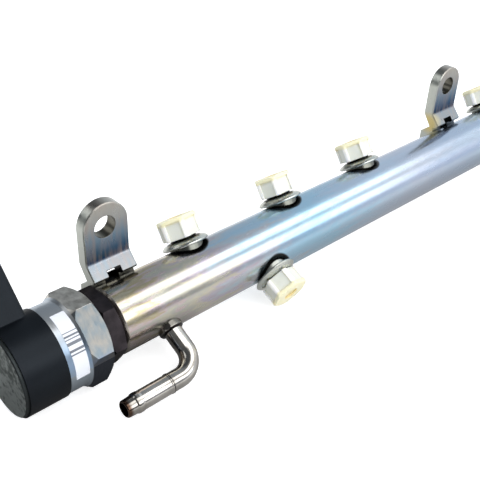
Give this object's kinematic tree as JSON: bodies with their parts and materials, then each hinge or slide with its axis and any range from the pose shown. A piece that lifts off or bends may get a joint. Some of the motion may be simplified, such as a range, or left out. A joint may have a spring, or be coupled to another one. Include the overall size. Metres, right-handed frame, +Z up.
{
  "type": "fuel rail",
  "caption": "Common rail tube with capped injector ports, folded bolt-on brackets, a bent return pipe, an electric pressure control valve and a pressure sensor.",
  "frame": {"origin": "centre of the middle bracket's bolt hole, on the rear face that lies against the engine", "axes": "+X along the rail from the pressure control valve to the pressure sensor, +Y into the engine, +Z up"},
  "size_m": [0.528, 0.075, 0.0619],
  "materials": {
    "natural_polyethylene": "natural moulded polyethylene",
    "port_steel": "turned and zinc plated",
    "hardened_steel": "ground",
    "bracket_zinc": "zinc plated pressing",
    "blue_zinc": "blue passivated zinc plate",
    "bright_nickel": "bright nickel plate",
    "dull_zinc": "dull zinc plate",
    "mottled_steel": "mottled plated steel",
    "black_phosphate": "black phosphate",
    "black_nylon": "glass filled nylon moulding",
    "enamelled_copper": "enamelled copper wire",
    "soft_copper": "annealed copper",
    "white_paper": "coated paper",
    "tinned_brass": "tin plate",
    "soft_iron": "machined soft iron",
    "black_rubber": "moulded rubber",
    "white_ptfe": "turned plastic"
  },
  "bodies": {
    "rail": {"armature_stop": "soft_iron", "bracket_left": "bracket_zinc", "bracket_middle": "bracket_zinc", "bracket_right": "bracket_zinc", "coil_bobbin": "black_nylon", "coil_winding": "enamelled_copper", "feed_cap": "natural_polyethylene", "feed_port": "port_steel", "injector_cap_1": "natural_polyethylene", "injector_cap_2": "natural_polyethylene", "injector_cap_3": "natural_polyethylene", "injector_cap_4": "natural_polyethylene", "injector_cap_5": "natural_polyethylene", "injector_cap_6": "natural_polyethylene", "injector_port_1": "port_steel", "injector_port_2": "port_steel", "injector_port_3": "port_steel", "injector_port_4": "port_steel", "injector_port_5": "port_steel", "injector_port_6": "port_steel", "rail_tube": "blue_zinc", "return_boss": "bright_nickel", "return_pipe": "bright_nickel", "sensor_body": "dull_zinc", "sensor_connector": "black_nylon", "sensor_terminal_1": "tinned_brass", "sensor_terminal_2": "tinned_brass", "sensor_terminal_3": "tinned_brass", "sensor_washer": "soft_copper", "shank_backup_ring": "white_ptfe", "shank_o_ring": "black_rubber", "throttle_insert_1": "hardened_steel", "throttle_insert_2": "hardened_steel", "throttle_insert_3": "hardened_steel", "throttle_insert_4": "hardened_steel", "throttle_insert_5": "hardened_steel", "throttle_insert_6": "hardened_steel", "valve_body": "dull_zinc", "valve_connector": "black_nylon", "valve_end_plate": "mottled_steel", "valve_label": "white_paper", "valve_lock_nut": "black_phosphate", "valve_seat": "hardened_steel", "valve_spring": "hardened_steel", "valve_terminal_left": "tinned_brass", "valve_terminal_right": "tinned_brass"},
    "plunger": {"armature": "soft_iron", "armature_pin": "hardened_steel", "valve_ball": "hardened_steel"}
  },
  "joints": [
    {"name": "valve_stroke", "type": "slide", "parent": "rail", "child": "plunger", "axis": [-1, 0, 0], "range_m": [0, 0.0004], "stiffness_N_per_m": 1200, "springref_m": -0.003, "deforming": ["valve_spring"]}
  ]
}
